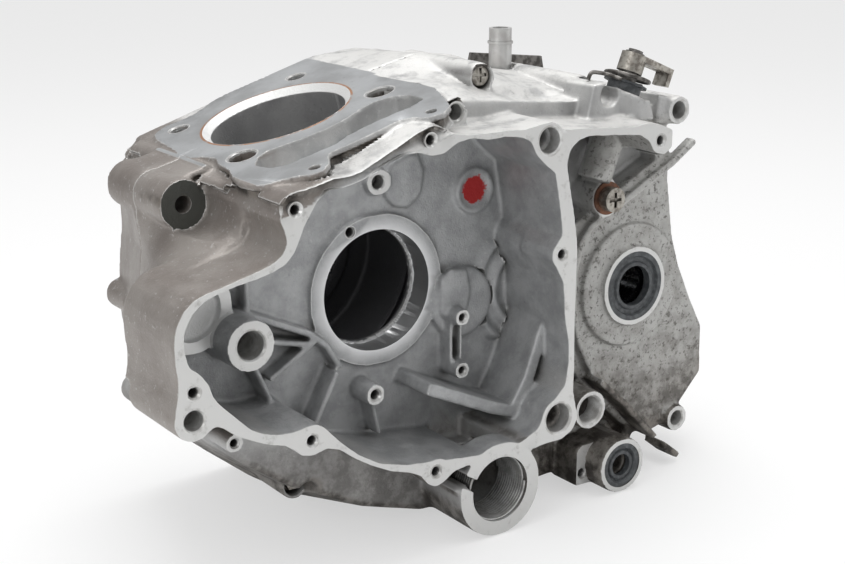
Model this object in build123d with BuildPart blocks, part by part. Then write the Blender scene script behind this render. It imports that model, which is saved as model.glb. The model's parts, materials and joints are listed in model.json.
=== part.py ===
from build123d import *
import os
from math import cos, pi, radians, sin

os.makedirs("parts", exist_ok=True)

# Origin: centre of the empty main bearing seat at its outer face.
# X runs to the rear, Y from the generator side to the clutch side, Z up.

# Driving sizes, mm. The scale rests on a 72 mm main bearing.
seat_d = 72.0
seat_w = 17.0
seat_lip = 3.0
rim_y = -54.0
plate_y = -14.0
floor_y = 3.0
split_y = 61.0
far_rim_y = 132.0
far_floor_y = 113.0
wall_t = 8.0
crank_room_r = 64.0
deck_lean = 16.8
deck_h = 101.9
deck_t = 11.0
bore_d = 81.0
bore_chamfer = 3.9
stud_d = 11.0
cover_screw_d = 6.0
cover_screw_deep = 20.0
case_screw_d = 6.0
case_screw_seat_y = 12.0
case_screw_bite = 12.0
output_x, output_z = 181.0, -22.0
output_seal_d = 45.0
output_seal_w = 8.0
output_shaft_d = 25.0
output_brg_d = 52.0
output_brg_w = 15.0
bush_r = 12.0
input_x, input_z = 118.0, 8.0
input_brg_d = 52.0
input_brg_w = 15.0
input_brg_bore = 25.0
shift_x, shift_z = 151.0, -128.0
shift_face_y = -48.0
shift_seal_d = 29.0
shift_seal_w = 7.0
shift_shaft_d = 14.0
shift_hole_r = shift_shaft_d / 2 + 0.1
plug_x, plug_z = 50.0, -117.0
plug_hole_r = 20.0
plug_boss_r = 29.0
plug_deep = 46.0
mount_x, mount_z = -108.0, 60.0
mount_half = 35.0
mount_r = 14.0
mount_hole_d = 10.0
release_x, release_z = 167.0, 92.0
release_y = -14.0
release_lean = 22.0
release_shaft_d = 12.0
running = 0.05

# Outlines as X, Z in mm, at the plane named beside each
rim_outer = [
    (-93, 73), (-93.5, 65), (-90.5, 58), (-89.5, 52), (-92, 47), (-97, 43.5), (-104, 41),
    (-112, 39), (-120, 37), (-128, 35), (-136, 33.5), (-143, 31), (-149, 26), (-153.5, 18),
    (-155, 9), (-154.5, 0), (-153.5, -9), (-154, -18), (-156, -27), (-154.5, -36),
    (-148, -42.5), (-140, -41), (-134, -37.5), (-129, -39.5), (-124, -44), (-118, -47.5),
    (-111, -51), (-103, -54.5), (-94, -57), (-88, -61), (-83, -65.5), (-76, -66.5),
    (-68, -64.5), (-60, -67), (-51, -74), (-40, -81), (-27, -87.5), (-14, -91.5), (-7, -95),
    (-2.5, -101), (3.5, -104.5), (9.5, -102.5), (16, -98), (26, -96.5), (40, -97),
    (60, -99), (76, -97), (86, -96), (96, -96), (104, -92), (108, -85), (106, -76),
    (104, -67), (104.5, -52), (104, -38), (103.5, -22), (104, -8), (104, 6), (104.5, 19),
    (103, 31), (101, 42), (98, 56), (95.5, 68), (94, 78), (93, 88), (89, 94), (83, 98),
    (74, 97), (64, 95.5), (50, 96), (36, 96), (24, 96.5), (13, 98.5), (6, 102.5),
    (-1, 104), (-9, 101), (-20, 95.5), (-32, 90), (-44, 84.5), (-53, 82.5), (-62, 82.5),
    (-70, 80.5), (-78, 79), (-87, 78.5),
]
rim_inner = [
    (-79, 60), (-82, 53), (-85, 47), (-91, 41), (-99, 38), (-108, 36), (-118, 34.5),
    (-128, 32.5), (-137, 29.5), (-144, 24), (-148.5, 16), (-149.5, 7), (-147, -3),
    (-141, -8), (-136.5, -14), (-134, -22), (-129, -28), (-122, -35), (-114, -43),
    (-107, -47), (-99, -49.5), (-90, -50.5), (-82, -49.5), (-75, -48.5), (-69, -52),
    (-60, -62), (-48, -72.5), (-34, -81), (-16, -86), (6, -88.5), (26, -91), (46, -92.5),
    (64, -91), (77, -85.5), (83, -76), (90, -69), (97.5, -62), (99.5, -48), (99, -34),
    (96, -22), (95, -8), (94, 2), (89.5, 10), (86, 17), (88, 25), (92.5, 31), (91, 42),
    (88.5, 56), (86, 68), (78, 74), (72, 80), (68, 88), (61, 91), (50, 92.5), (38, 92),
    (28, 94), (18, 93), (9, 88), (1, 87), (-8, 90), (-18, 90), (-30, 86), (-43, 79.5),
    (-54, 77), (-64, 77), (-71, 72), (-75, 66),
]
rear_arm = [
    (80, 88), (92, 92.5), (103, 92), (125, 90), (146, 88.5), (156, 90), (166, 88), (176, 84),
    (176, 73), (170, 69), (162, 72), (157, 79), (150, 83), (130, 85), (111, 86.5), (103, 85),
    (97, 80), (94, 70),
]
body_near = [
    (-92, 70), (-93, 58), (-95, 47), (-110, 41), (-135, 33), (-148, 10), (-148, -20),
    (-140, -42), (-119, -62), (-95, -82), (-68, -101), (-44, -113), (-20, -125), (22, -138),
    (100, -139), (178, -136), (222, -124), (250, -95), (249, -62), (238, -42), (226, -17),
    (219, 4), (213, 42), (213, 70), (205, 88), (166, 97), (126, 101), (97, 104), (64, 106),
    (31, 108),
]
body_split = [
    (-87, 80), (-101, 74), (-119, 66), (-121, 50), (-118, 30), (-121, 5), (-123, -25),
    (-121, -55), (-110, -78), (-84, -100), (-54, -124), (-28, -141), (0, -146), (50, -146),
    (120, -146), (190, -140), (238, -120), (253, -92), (251, -60), (238, -39), (226, -15),
    (219, 10), (213, 50), (214, 80), (205, 98), (166, 106), (126, 111), (98, 122), (68, 125),
    (34, 117),
]
body_far = [
    (-85, 79), (-93, 70), (-99, 60), (-99, 45), (-98, 28), (-101, 5), (-102, -25), (-99, -52),
    (-94, -76), (-80, -98), (-54, -122), (-28, -139), (0, -144), (50, -144), (110, -142),
    (160, -132), (192, -112), (208, -88), (212, -60), (207, -38), (201, -15), (196, 10),
    (192, 42), (186, 68), (172, 88), (150, 98), (122, 106), (96, 116), (68, 121), (38, 118),
]
gear_room = [
    (60, 104), (61, 70), (73, 42), (78, 4), (73, -30), (60, -56), (38, -73), (4, -82),
    (-26, -86), (-44, -98), (-28, -117), (-5, -128), (24, -133), (100, -134), (172, -130),
    (216, -116), (241, -92), (240, -62), (228, -40), (217, -16), (210, 8), (204, 46),
    (204, 74), (196, 87), (162, 96), (124, 99), (96, 104), (70, 107),
]
far_gear_room = [
    (60, 104), (61, 70), (73, 42), (78, 4), (73, -30), (60, -56), (38, -73), (4, -82),
    (-30, -86), (-62, -104), (-44, -122), (-20, -134), (10, -137), (100, -135), (150, -127),
    (182, -107), (197, -86), (201, -60), (196, -36), (190, -12), (185, 12), (181, 44),
    (175, 66), (164, 81), (146, 89), (118, 97), (92, 107), (70, 110),
]
front_room = [
    (-60, 34), (-78, 34), (-100, 24), (-114, 8), (-116, -20), (-114, -46), (-104, -66),
    (-86, -82), (-64, -96), (-52, -92), (-40, -68), (-56, -44), (-64, -20), (-62, 10),
]
front_room_far = [
    (-60, 34), (-78, 40), (-90, 36), (-92, 8), (-94, -20), (-92, -44), (-86, -66),
    (-76, -86), (-60, -96), (-52, -92), (-40, -68), (-56, -44), (-64, -20), (-62, 10),
]
plate_room = [
    (140, 8), (150, 20), (196, 50), (200, 44), (206, 8), (214, -16), (226, -40), (238, -62),
    (239, -90), (222, -110), (204, -118), (160, -76), (142, -50), (136, -20),
]
recess_rear = [
    (105, -62), (105, 20), (97, 70), (101, 80), (112, 84), (150, 80), (158, 70), (175, 66),
    (198, 64), (203, 56), (136, 23), (124, 10), (121, -6), (120, -22), (122, -36), (127, -54),
    (136, -72), (146, -84), (120, -74),
]
recess_low = [
    (112, -70), (122, -72), (150, -90), (186, -122), (178, -126), (168, -112), (146, -110),
    (116, -106), (108, -98),
]
guard_line = [
    (230, 66), (212, 54), (178, 37), (145, 21), (137, 11), (133, -5), (132, -22), (134, -36),
    (138, -52), (145, -66), (153, -79), (160, -86),
]
guard_fin = [(146, -76), (154, -84), (168, -96), (198, -128), (216, -142)]
deck_near = [
    (-59, 61), (-61, 55), (-56, 35), (-60, 25), (-62, 8), (-66, -2), (-69, -14), (-68, -26),
    (-63, -33), (-55, -37), (-48, -42), (-43, -49), (-36, -50), (-30, -45), (-22, -32),
    (-14, -33), (4, -34), (24, -33), (30, -38), (33, -48), (41, -52), (50, -46), (57, -30),
    (64, -13), (64, 30), (62, 61),
]
deck_far = [
    (-59, 61), (-59, 80), (-57, 104), (-54, 116), (-44, 122), (-34, 120), (-22, 121),
    (-8, 128), (8, 132), (24, 131), (40, 125), (52, 116), (60, 100), (62, 61),
]
chain_tunnel = [
    (-51, -2), (-43, 8), (-35, 10), (-18, 5), (-2, 2.5), (12, 3.5), (26, 8), (35, 9), (46, 4),
    (51, -6), (50, -20), (39, -22), (28, -20), (13, -19.5), (-2, -20), (-12, -24),
    (-31, -22), (-42, -21), (-49, -14),
]

plate_outline = [
    (input_x - 30, input_z + 14), (input_x - 27, input_z + 28), (input_x - 14, input_z + 33),
    (input_x + 10, input_z + 29), (input_x + 28, input_z + 12), (input_x + 31, input_z - 10),
    (input_x + 28, input_z - 28), (input_x + 14, input_z - 33), (input_x - 10, input_z - 29),
    (input_x - 28, input_z - 12),
]
# Screws of the clutch cover, the oil pump and the bearing plate, as X, Z
far_screws = [
    (-88, 66), (-93, 4), (-90, -62), (-48, -117), (20, -136), (104, -135), (184, -106),
    (203, -52), (188, 20), (166, 82), (84, 112),
]
pump_screws = [(50, -88), (92, -88), (88, -62), (52, -60)]
retainer_screws = [(input_x - 19, input_z + 24.5), (input_x + 19, input_z - 24.5)]

# Screws of the generator cover, as X, Z on the rim
cover_screws = [(-84, 69), (0, 96), (93, 19), (4, -95), (-77, -58), (-145, -17), (167, 78)]
dowels = [(82, 87, 7.5, 10.5), (93, -82, 8.9, 13.0)]
studs_near = [(-47, split_y - 41), (47, split_y - 41)]
studs_far = [(-42, split_y + 46), (42, split_y + 46)]
case_screw_spots = [(76, 116), (151, 103), (-56, -108), (196, -131), (204, 66)]
seat_r = seat_d / 2
mid_half = split_y - (seat_w + seat_lip)

lean = radians(deck_lean)
deck_axis = (-sin(lean), 0, cos(lean))
deck_plane = Plane(
    origin=(-sin(lean) * deck_h, 0, cos(lean) * deck_h),
    x_dir=(cos(lean), 0, sin(lean)),
    z_dir=deck_axis,
)


def at_y(y):
    return Plane.XZ.offset(-y)


def polygon(points, plane):
    with BuildSketch(plane) as drawn:
        with BuildLine():
            Polyline(*points, close=True)
        make_face()
    return drawn.sketch


def circle(x, z, r, plane):
    with BuildSketch(plane) as drawn:
        with Locations((x, z)):
            Circle(r)
    return drawn.sketch


def slab(points, near, far, mode=Mode.ADD):
    extrude(polygon(points, at_y(far)), amount=far - near, mode=mode)


def disc(x, z, r, near, far, mode=Mode.ADD):
    extrude(circle(x, z, r, at_y(far)), amount=far - near, mode=mode)


def bar(points, width, near, far, mode=Mode.ADD):
    with BuildSketch(at_y(far)) as drawn:
        with BuildLine():
            Polyline(*points)
        trace(line_width=width)
    extrude(drawn.sketch, amount=far - near, mode=mode)


def between(first, y_first, second, y_second):
    loft([polygon(first, at_y(y_first)), polygon(second, at_y(y_second))], ruled=True)


def on_deck(points, down, mode=Mode.ADD):
    extrude(polygon(points, deck_plane), amount=-down, mode=mode)


def deck_hole(s, y, r, down, mode=Mode.SUBTRACT):
    extrude(circle(s, y, r, deck_plane), amount=-down, mode=mode)


def bore_cut():
    deck_hole(0, split_y, bore_d / 2, deck_h)
    mouth = bore_d / 2 + bore_chamfer
    extrude(circle(0, split_y, mouth, deck_plane), amount=-bore_chamfer, taper=45, mode=Mode.SUBTRACT)


def block_on_axis(plane, r, low, high, mode=Mode.ADD):
    with BuildSketch(plane.offset(low)) as drawn:
        Circle(r)
    extrude(drawn.sketch, amount=high - low, mode=mode)


# Places that follow from the sizes above
seal_y = plate_y - 7
output_brg_y = plate_y + 4
main_brg_y = split_y + mid_half
input_brg_y = far_floor_y - 12
release_axis = (sin(radians(release_lean)), 0, cos(radians(release_lean)))
release_plane = Plane(origin=(release_x, release_y, release_z), x_dir=(0, 1, 0), z_dir=release_axis)
release_top = 10.0
collar_r, collar_high = 10.5, 6.5
spring_low = release_top + collar_high + 0.2
spring_r = 13.5
wire_r = 1.3
spring_turns = 1.25
spring_pitch = 2 * wire_r + 0.25
hub_low = spring_low + 2 * wire_r + spring_turns * spring_pitch + 0.2
hub_r = 8.0
arm_high = 31.0
arm_t = 3.5
arm_reach = 30.0
gallery_x, gallery_z = 155.0, 38.5
guard_high = 6.0
gallery_y = plate_y - guard_high - 0.5
nipple_x, nipple_y, nipple_z = 143.0, 73.0, 108.0
spigot_r, spigot_deep = 4.5, 6.0
nipple_r, nipple_bore_r, breather_r = 7.4, 5.0, 2.6
screw_hole_r = case_screw_d / 2
screw_room_r = 7.0
split_dowel_r, split_dowel_hole_r, split_dowel_half = 5.0, 3.6, 7.0

with BuildPart() as left_case_half:
    between(body_split, split_y, body_near, plate_y)
    slab(rim_outer, rim_y, floor_y + 5)
    slab(rear_arm, rim_y, plate_y + 2)
    on_deck(deck_near, deck_t)
    on_deck(deck_near, -6, Mode.SUBTRACT)
    # Front mount, near part
    disc(mount_x, mount_z, mount_r, split_y - mount_half, split_y)
    slab([(-108, 74), (-88, 79), (-90, 44), (-110, 46)], split_y - mount_half + 4, split_y)
    # Inside rooms
    slab(rim_inner, rim_y, floor_y, Mode.SUBTRACT)
    slab(gear_room, floor_y + wall_t, split_y, Mode.SUBTRACT)
    slab(plate_room, plate_y + wall_t, floor_y + wall_t + 1, Mode.SUBTRACT)
    slab(recess_rear, plate_y - 1, floor_y - 1, Mode.SUBTRACT)
    slab(recess_low, plate_y - 1, floor_y - 5, Mode.SUBTRACT)
    disc(0, 0, crank_room_r - 2, floor_y + wall_t, split_y, Mode.SUBTRACT)
    disc(0, 0, crank_room_r, seat_w + seat_lip, split_y, Mode.SUBTRACT)
    slab(front_room, floor_y + wall_t, split_y, Mode.SUBTRACT)
    # Main bearing seat and its boss
    disc(0, 0, seat_r + 9, 0, seat_w + seat_lip)
    # Chamber floor features
    disc(0, 64, 8, -2, floor_y + 1)
    slab([(6, 54), (12, 48), (22, 46), (31, 53), (33, 66), (29, 77), (19, 80), (8, 72)], -1, floor_y + 1)
    disc(70, 50, 14, 0, floor_y + 1)
    disc(70, 50, 11, 0, 1.6, Mode.SUBTRACT)
    disc(-98, -8, 14.5, -28, floor_y + 1)
    disc(-12, -57, 6.5, -16, floor_y + 1)
    bar([(-11, -60), (-6, -84)], 3, -11, floor_y + 1)
    disc(-123, 11, 24, -10, floor_y + 1)
    disc(-123, 11, 17, -10, -6.5, Mode.SUBTRACT)
    bar([(-90, -20), (-75, -54)], 3.4, -12, floor_y + 1)
    bar([(-84, -14), (-49, -22), (-76, -38)], 3.4, -8, floor_y + 1)
    bar([(-34, -40), (-50, -70)], 3.4, -12, floor_y + 1)
    bar([(-86, 1), (-49, -16), (-38, -25), (-29, -40)], 4, -7, floor_y + 1)
    bar([(-88, -2), (-88, 34)], 3.4, -7, floor_y + 1)
    for boss_z in (-22, -55):
        disc(51, boss_z, 5.4, -14, floor_y + 1)
    for rib_x in (47.4, 54.6):
        bar([(rib_x, -22), (rib_x, -55)], 2.4, -8, floor_y + 1)
    disc(60, -17, 22, -2, floor_y + 1)
    slab([(42, -20), (42, 0), (50, 6), (61, 4), (64, -10), (60, -26), (48, -27)], -5, 0)
    bar([(101, -28), (88, -63), (77, -81), (62, -76), (14, -54)], 8, -32, floor_y + 1)
    # Screw bosses on the rim
    for x, z in cover_screws:
        disc(x, z, 8, rim_y, plate_y + 2 if x > 150 else rim_y + 30)
    for x, z, hole_r, boss_r in dowels:
        disc(x, z, boss_r, rim_y, plate_y + 2)
    # Lower front mount, threaded plug boss, shift shaft boss, switch boss, small pad
    disc(-145.5, -32, 11, rim_y, 2)
    disc(plug_x, plug_z, plug_boss_r, rim_y, plate_y + 4)
    disc(shift_x, shift_z, 18, shift_face_y, plate_y + 4)
    disc(132, -90, 12.5, -38, plate_y + 12)
    slab([(125, -117), (128, -114), (139, -114), (141, -118), (141, -139), (138, -141), (125, -141)],
         -34, plate_y + 4)
    disc(-114, -57, 5.5, -36, plate_y + 6)
    # Outside: sprocket side
    disc(output_x, output_z, 40, plate_y - 4, plate_y + 1)
    disc(output_x, output_z, output_seal_d / 2 + 3, seal_y, plate_y + 1)
    disc(output_x, output_z, output_brg_d / 2 + 8, plate_y + wall_t - 1, output_brg_y + output_brg_w)
    bar(guard_line, 4.4, plate_y - guard_high, plate_y + 2)
    bar(guard_fin, 4.4, plate_y - 18, plate_y + 2)
    disc(gallery_x, gallery_z, 11.5, gallery_y, floor_y)
    disc(226, -122, 9, plate_y - 4, split_y)
    disc(214, 87, 9, plate_y - 6, split_y)
    slab([(196, 80), (198, 98), (208, 96), (214, 78)], plate_y - 4, split_y - 20)
    # Outside: roof
    disc(32, 105, 8.5, -32, 40)
    disc(32, 96, 8.5, -32, 40)
    slab([(133, 88), (138, 110), (146, 111), (184, 97), (188, 84)], plate_y - 12, plate_y + 16)
    block_on_axis(release_plane, 15, -16, release_top)
    block_on_axis(release_plane, spring_r + wire_r + 1, release_top, release_top + 30, Mode.SUBTRACT)
    for x, z in case_screw_spots:
        disc(x, z, screw_room_r + 2, case_screw_seat_y - 10, split_y)
    # Holes
    disc(0, 0, seat_r, -1, seat_w, Mode.SUBTRACT)
    disc(0, 0, seat_r - 1.5, seat_w - 1, seat_w + seat_lip + 1, Mode.SUBTRACT)
    disc(-18, 37, 3, -1, seat_w + seat_lip + 1, Mode.SUBTRACT)
    disc(0, 64, 4, -3, floor_y + 6, Mode.SUBTRACT)
    disc(-98, -8, 8, -29, floor_y + 5, Mode.SUBTRACT)
    disc(-12, -57, 3.2, -17, -1, Mode.SUBTRACT)
    for boss_z in (-22, -55):
        disc(51, boss_z, 2.5, -15, -2, Mode.SUBTRACT)
    for x, z in cover_screws:
        disc(x, z, cover_screw_d / 2, rim_y - 1, rim_y + cover_screw_deep, Mode.SUBTRACT)
    for x, z, hole_r, boss_r in dowels:
        disc(x, z, hole_r, rim_y - 1, rim_y + 10, Mode.SUBTRACT)
        disc(x, z, hole_r - 2, rim_y, rim_y + 24, Mode.SUBTRACT)
    disc(-145.5, -32, 5.5, rim_y - 1, 3, Mode.SUBTRACT)
    disc(-145.5, -32, 12, 2, split_y, Mode.SUBTRACT)
    disc(plug_x, plug_z, plug_hole_r, rim_y - 1, rim_y + plug_deep, Mode.SUBTRACT)
    disc(plug_x, plug_z, 12, rim_y + plug_deep - 1, floor_y + wall_t + 1, Mode.SUBTRACT)
    slab([(36, -84), (62, -84), (62, -104), (36, -104)], rim_y + 18, floor_y, Mode.SUBTRACT)
    bar([(20, -104), (34, -112)], 7, rim_y - 1, rim_y + 22, Mode.SUBTRACT)
    bar([(20, -113), (28, -111)], 2.2, rim_y + 3, rim_y + 20)
    disc(shift_x, shift_z, shift_seal_d / 2, shift_face_y - 1, shift_face_y + shift_seal_w, Mode.SUBTRACT)
    disc(shift_x, shift_z, shift_hole_r, shift_face_y, split_y + 1, Mode.SUBTRACT)
    disc(132, -90, 8.9, -39, -24, Mode.SUBTRACT)
    disc(132, -90, 4, -25, floor_y + wall_t + 1, Mode.SUBTRACT)
    disc(130, -133, 3, -35, -20, Mode.SUBTRACT)
    disc(-114, -57, 2.5, -37, -22, Mode.SUBTRACT)
    disc(output_x, output_z, output_seal_d / 2, seal_y - 1, seal_y + output_seal_w, Mode.SUBTRACT)
    disc(output_x, output_z, output_brg_d / 2 - 5, seal_y, output_brg_y + 1, Mode.SUBTRACT)
    disc(output_x, output_z, output_brg_d / 2, output_brg_y, output_brg_y + output_brg_w + 1, Mode.SUBTRACT)
    disc(gallery_x, gallery_z, 5, gallery_y - 1, gallery_y + 14, Mode.SUBTRACT)
    disc(226, -122, 5, plate_y - 5, split_y + 1, Mode.SUBTRACT)
    disc(214, 87, 5.6, plate_y - 7, split_y + 1, Mode.SUBTRACT)
    disc(mount_x, mount_z, mount_hole_d / 2, split_y - mount_half - 1, split_y + 1, Mode.SUBTRACT)
    disc(mount_x, mount_z, mount_r + 1, plate_y, split_y - mount_half, Mode.SUBTRACT)
    disc(32, 105, 4.5, -33, 6, Mode.SUBTRACT)
    block_on_axis(release_plane, release_shaft_d / 2 + running, -34, release_top + 1, Mode.SUBTRACT)
    for x, z in case_screw_spots:
        disc(x, z, screw_room_r, case_screw_seat_y - 60, case_screw_seat_y, Mode.SUBTRACT)
        disc(x, z, screw_hole_r + 0.4, case_screw_seat_y - 1, split_y + 1, Mode.SUBTRACT)
    for x, z in case_screw_spots[:2]:
        disc(x, z, split_dowel_r, split_y - split_dowel_half, split_y + 1, Mode.SUBTRACT)
    # Deck: tunnel for the cam chain, cylinder bore, studs
    on_deck(chain_tunnel, 34, Mode.SUBTRACT)
    bore_cut()
    for s, y in studs_near:
        deck_hole(s, y, stud_d / 2, 40)
        deck_hole(s, y, 8.0, 9)
    for s in (-37, 40):
        deck_hole(s, -41, 3.2, 9)

with BuildPart() as right_case_half:
    between(body_split, split_y, body_far, far_rim_y)
    on_deck(deck_far, deck_t)
    on_deck(deck_far, -6, Mode.SUBTRACT)
    disc(mount_x, mount_z, mount_r, split_y, split_y + mount_half)
    slab([(-108, 74), (-88, 79), (-90, 44), (-110, 46)], split_y, split_y + mount_half - 4)
    disc(-104, -14, 9, split_y + 40, far_rim_y - 4)
    disc(-98, -76, 9, split_y + 40, far_rim_y - 4)
    disc(-88, 70, 8, split_y + 20, far_rim_y - 8)
    disc(shift_x, shift_z, 14, split_y, far_rim_y - 8)
    disc(214, 87, 9, split_y, split_y + 24)
    disc(226, -122, 9, split_y, split_y + 24)
    slab([(118, 96), (122, nipple_z), (168, nipple_z), (176, 96)], split_y + 3, split_y + 26)
    # Rooms on the crank side
    slab(far_gear_room, split_y, far_floor_y - wall_t, Mode.SUBTRACT)
    disc(0, 0, crank_room_r - 2, split_y, far_floor_y - wall_t, Mode.SUBTRACT)
    slab(front_room_far, split_y, far_floor_y - wall_t, Mode.SUBTRACT)
    # Clutch side room
    with BuildSketch(at_y(far_rim_y + 1)) as clutch_room:
        with BuildLine():
            Polyline(*body_far, close=True)
        make_face()
        offset(amount=-wall_t, mode=Mode.REPLACE)
    extrude(clutch_room.sketch, amount=far_rim_y + 1 - far_floor_y, mode=Mode.SUBTRACT)
    for x, z in far_screws:
        disc(x, z, 7.5, far_floor_y - 2, far_rim_y)
    for x, z in case_screw_spots:
        disc(x, z, screw_room_r + 2, split_y, split_y + case_screw_bite + 6)
    # Bearing bosses
    disc(0, 0, seat_r + 9, main_brg_y, main_brg_y + seat_w + seat_lip)
    disc(input_x, input_z, input_brg_d / 2 + 7, input_brg_y - 3, input_brg_y + input_brg_w)
    disc(output_x, output_z, bush_r + 7, far_floor_y - 22, far_floor_y + 1)
    # Pads for the oil pump
    slab([(44, -96), (96, -96), (100, -60), (70, -46), (42, -62)], far_floor_y - 1, far_floor_y + 5)
    # Holes
    disc(0, 0, seat_r, main_brg_y - 1, main_brg_y + seat_w, Mode.SUBTRACT)
    disc(0, 0, seat_r - 4, main_brg_y, main_brg_y + seat_w + seat_lip + 1, Mode.SUBTRACT)
    disc(input_x, input_z, input_brg_d / 2, input_brg_y, far_rim_y, Mode.SUBTRACT)
    disc(input_x, input_z, input_brg_d / 2 - 4, input_brg_y - 4, far_rim_y, Mode.SUBTRACT)
    disc(output_x, output_z, bush_r + 5, split_y, far_floor_y - 22, Mode.SUBTRACT)
    disc(output_x, output_z, bush_r, far_floor_y - 23, far_floor_y - 5, Mode.SUBTRACT)
    for x, z in far_screws:
        disc(x, z, cover_screw_d / 2, far_rim_y - cover_screw_deep + 2, far_rim_y + 1, Mode.SUBTRACT)
    for x, z in pump_screws:
        disc(x, z, 2.5, far_floor_y - 4, far_floor_y + 6, Mode.SUBTRACT)
    disc(70, -72, 9, far_floor_y - wall_t - 1, far_floor_y + 6, Mode.SUBTRACT)
    disc(shift_x, shift_z, shift_hole_r, split_y - 1, far_rim_y, Mode.SUBTRACT)
    disc(214, 87, 5.6, split_y - 1, split_y + 25, Mode.SUBTRACT)
    disc(226, -122, 5, split_y - 1, split_y + 25, Mode.SUBTRACT)
    disc(mount_x, mount_z, mount_hole_d / 2, split_y - 1, split_y + mount_half + 1, Mode.SUBTRACT)
    disc(mount_x, mount_z, mount_hole_d / 2 + 2, split_y + mount_half, far_rim_y, Mode.SUBTRACT)
    for x, z in retainer_screws:
        disc(x, z, 2.5, input_brg_y + 3, far_rim_y, Mode.SUBTRACT)
    for x, z in case_screw_spots:
        disc(x, z, screw_hole_r, split_y - 1, split_y + case_screw_bite + 2, Mode.SUBTRACT)
    for x, z in case_screw_spots[:2]:
        disc(x, z, split_dowel_r, split_y - 1, split_y + split_dowel_half, Mode.SUBTRACT)
    with BuildSketch(Plane.XY.offset(nipple_z)) as spot_face:
        with Locations((nipple_x, nipple_y)):
            Circle(nipple_r + 2.5)
    extrude(spot_face.sketch, amount=12, mode=Mode.SUBTRACT)
    with BuildSketch(Plane.XY.offset(nipple_z + 1)) as spigot_hole:
        with Locations((nipple_x, nipple_y)):
            Circle(spigot_r)
    extrude(spigot_hole.sketch, amount=-1 - spigot_deep, mode=Mode.SUBTRACT)
    with BuildSketch(Plane.XY.offset(nipple_z - spigot_deep + 1)) as breather_hole:
        with Locations((nipple_x, nipple_y)):
            Circle(breather_r)
    extrude(breather_hole.sketch, amount=-20, mode=Mode.SUBTRACT)
    bore_cut()
    for s, y in studs_far:
        deck_hole(s, y, stud_d / 2, 40)


def seal(x, z, y, outer_r, shaft_r, width):
    # Turned ring: flat metal-backed rim, a groove in its face and a thinner lip
    with BuildPart() as made:
        with BuildSketch(Plane.XY) as profile:
            with BuildLine():
                Polyline(
                    (outer_r, 0), (outer_r, width), (shaft_r + 4, width), (shaft_r + 4, 3),
                    (shaft_r + 1.6, 3), (shaft_r + 1.6, width - 1), (shaft_r, width - 2),
                    (shaft_r, 0.6), (shaft_r + 2, 0.6), (shaft_r + 3, 1.8), (outer_r - 4, 1.8),
                    (outer_r - 3, 0), close=True,
                )
            make_face()
        revolve(axis=Axis.Y)
    turned = made.part.moved(Location((x, y, z)))
    return turned


def bearing(x, z, y, bore, outer_d, width, balls):
    pitch = (bore + outer_d) / 4
    ball_r = (outer_d - bore) * 0.155
    mid = width / 2
    land = ball_r * 0.5
    groove_r = ball_r * 1.04
    groove_in = groove_r - ball_r - running
    place = Location((x, y, z))
    with BuildPart() as outer:
        with BuildSketch(Plane.XY):
            with Locations(((pitch + land + outer_d / 2) / 2, mid)):
                Rectangle(outer_d / 2 - pitch - land, width)
            with Locations((pitch - groove_in, mid)):
                Circle(groove_r, mode=Mode.SUBTRACT)
        revolve(axis=Axis.Y)
    with BuildPart() as inner:
        with BuildSketch(Plane.XY):
            with Locations(((pitch - land + bore / 2) / 2, mid)):
                Rectangle(pitch - land - bore / 2, width)
            with Locations((pitch + groove_in, mid)):
                Circle(groove_r, mode=Mode.SUBTRACT)
        revolve(axis=Axis.Y)
    with BuildPart() as cage:
        with BuildSketch(Plane.XY):
            with Locations((pitch, mid)):
                Rectangle(2.2, 2 * ball_r + 2.6)
        revolve(axis=Axis.Y)
        for i in range(balls):
            turn = 2 * pi * i / balls
            pocket = Plane(origin=(0, mid, 0), x_dir=(0, 1, 0), z_dir=(cos(turn), 0, sin(turn)))
            block_on_axis(pocket, ball_r + running, pitch - 4, pitch + 4, Mode.SUBTRACT)
    with BuildPart() as ball_set:
        with Locations(*[
            (pitch * cos(2 * pi * i / balls), mid, pitch * sin(2 * pi * i / balls))
            for i in range(balls)
        ]):
            Sphere(ball_r)
    return [piece.part.moved(place) for piece in (outer, inner, cage, ball_set)]


def hex_screw(x, z, head_y, shank_r, length, flange_r, across, head_h):
    # Flanged hexagon head towards the generator side, threaded end towards the clutch side
    with BuildPart() as made:
        with BuildSketch(at_y(head_y)):
            with Locations((x, z)):
                Circle(flange_r)
        extrude(amount=1.6)
        with BuildSketch(at_y(head_y - 1.6)):
            with Locations((x, z)):
                RegularPolygon(across / 2, 6, major_radius=False)
        extrude(amount=head_h)
        with BuildSketch(at_y(head_y + length)):
            with Locations((x, z)):
                Circle(shank_r)
        extrude(amount=length)
    return made.part


# Seals, pressed in from outside
output_shaft_seal = seal(output_x, output_z, seal_y, output_seal_d / 2, output_shaft_d / 2 + 0.5,
                         output_seal_w)
shift_shaft_seal = seal(shift_x, shift_z, shift_face_y + 0.5, shift_seal_d / 2,
                        shift_hole_r, shift_seal_w - 0.5)

# Bearings that stay in the halves
bearings = {
    "main": bearing(0, 0, main_brg_y, 35.0, seat_d, seat_w, 9),
    "output": bearing(output_x, output_z, output_brg_y, 25.0, output_brg_d, output_brg_w, 9),
    "input": bearing(input_x, input_z, input_brg_y, input_brg_bore, input_brg_d, input_brg_w, 9),
}

with BuildPart() as bearing_plate:
    plate_low = input_brg_y + input_brg_w
    with BuildSketch(at_y(plate_low + 2)):
        with BuildLine():
            Polyline(*[(x, z) for x, z in plate_outline], close=True)
        make_face()
        with Locations((input_x, input_z)):
            Circle(input_brg_d / 2 - 4, mode=Mode.SUBTRACT)
        with Locations(*retainer_screws):
            Circle(2.6, mode=Mode.SUBTRACT)
    extrude(amount=2)

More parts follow.
